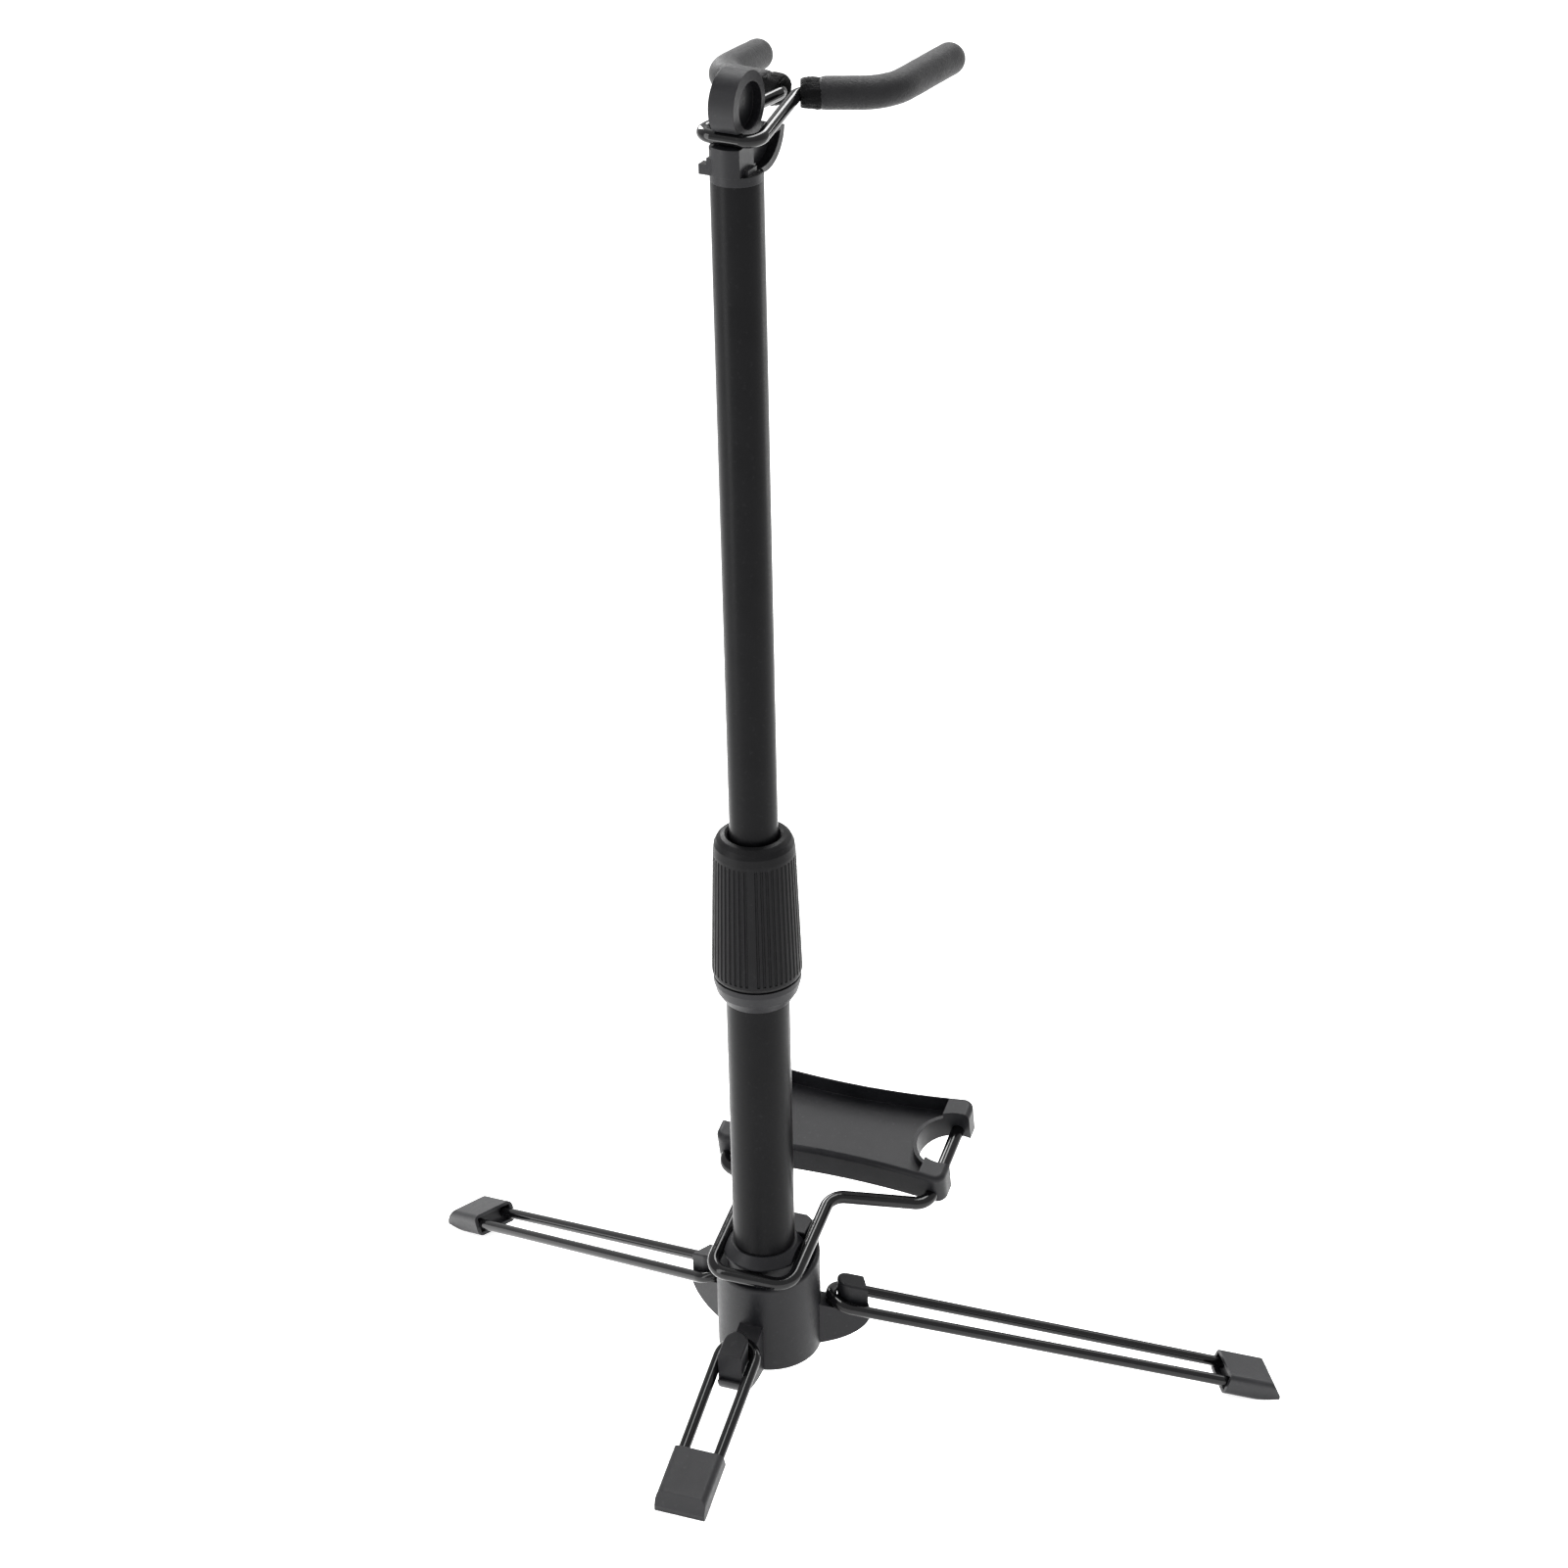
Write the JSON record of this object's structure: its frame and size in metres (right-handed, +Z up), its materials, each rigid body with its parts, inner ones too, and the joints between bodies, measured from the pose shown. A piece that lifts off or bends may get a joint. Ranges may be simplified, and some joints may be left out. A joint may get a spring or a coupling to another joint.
{
  "type": "saxophone stand",
  "caption": "Folding saxophone stand: leaning telescopic mast on wire legs, wire cradle with a tray low down and a foam padded fork on top.",
  "frame": {"origin": "on the floor under the middle of the whole stand, 12 mm behind the point that the centre line of the mast runs through", "axes": "+Z up from the floor, +Y forward to the side of the tray and fork, +X to the right of the stand"},
  "size_m": [0.503, 0.3353, 0.7292],
  "materials": {
    "tube_paint": "satin",
    "wire_paint": "gloss",
    "moulding": "matte",
    "grip_plastic": "matte",
    "collet_plastic": "matte",
    "foot_rubber": "matte",
    "foam": "matte",
    "screw_steel": "satin"
  },
  "bodies": {
    "base": {"hub": "moulding", "lower_tube": "tube_paint", "tube_plug": "moulding", "base_screw": "screw_steel", "clutch_body": "moulding"},
    "leg_front_right": {"leg_wire_front_right": "wire_paint", "leg_foot_front_right": "foot_rubber"},
    "leg_front_left": {"leg_wire_front_left": "wire_paint", "leg_foot_front_left": "foot_rubber"},
    "leg_rear": {"leg_wire_rear": "wire_paint", "leg_foot_rear": "foot_rubber"},
    "cradle": {"cradle_wire": "wire_paint", "tray": "moulding"},
    "grip": {"twist_grip": "grip_plastic"},
    "collet": {"collet": "collet_plastic"},
    "mast": {"upper_tube": "tube_paint", "slide_bush": "collet_plastic", "head": "moulding"},
    "fork": {"fork_wire": "wire_paint", "fork_sleeve_left": "foam", "fork_sleeve_right": "foam"}
  },
  "joints": [
    {"name": "leg_front_right_fold", "type": "hinge", "parent": "base", "child": "leg_front_right", "pos_m": [0.03048, 0.01327, 0.07168], "axis": [0.5, -0.8431, -0.1978], "range_deg": [0, 54]},
    {"name": "leg_front_left_fold", "type": "hinge", "parent": "base", "child": "leg_front_left", "pos_m": [-0.03048, 0.01327, 0.07168], "axis": [0.5, 0.8431, 0.1978], "range_deg": [0, 90]},
    {"name": "leg_rear_fold", "type": "hinge", "parent": "base", "child": "leg_rear", "pos_m": [0, -0.03814, 0.05963], "axis": [-1, 0, 0], "range_deg": [0, 110]},
    {"name": "cradle_fold", "type": "hinge", "parent": "base", "child": "cradle", "pos_m": [0, -0.03354, 0.09429], "axis": [1, 0, 0], "range_deg": [0, 38]},
    {"name": "grip_twist", "type": "hinge", "parent": "base", "child": "grip", "pos_m": [0, -0.06062, 0.3096], "axis": [0, -0.2284, 0.9736], "range_deg": [0, 90]},
    {"name": "mast_turn", "type": "hinge", "parent": "base", "child": "collet", "pos_m": [0, -0.0645, 0.32615], "axis": [0, -0.2284, 0.9736], "continuous": true},
    {"name": "mast_height", "type": "slide", "parent": "collet", "child": "mast", "axis": [0, -0.2284, 0.9736], "range_m": [-0.2, 0.02]},
    {"name": "fork_fold", "type": "hinge", "parent": "mast", "child": "fork", "pos_m": [-0.00089, -0.15705, 0.689], "axis": [0.9925, -0.1186, -0.0278], "range_deg": [0, 90]}
  ]
}
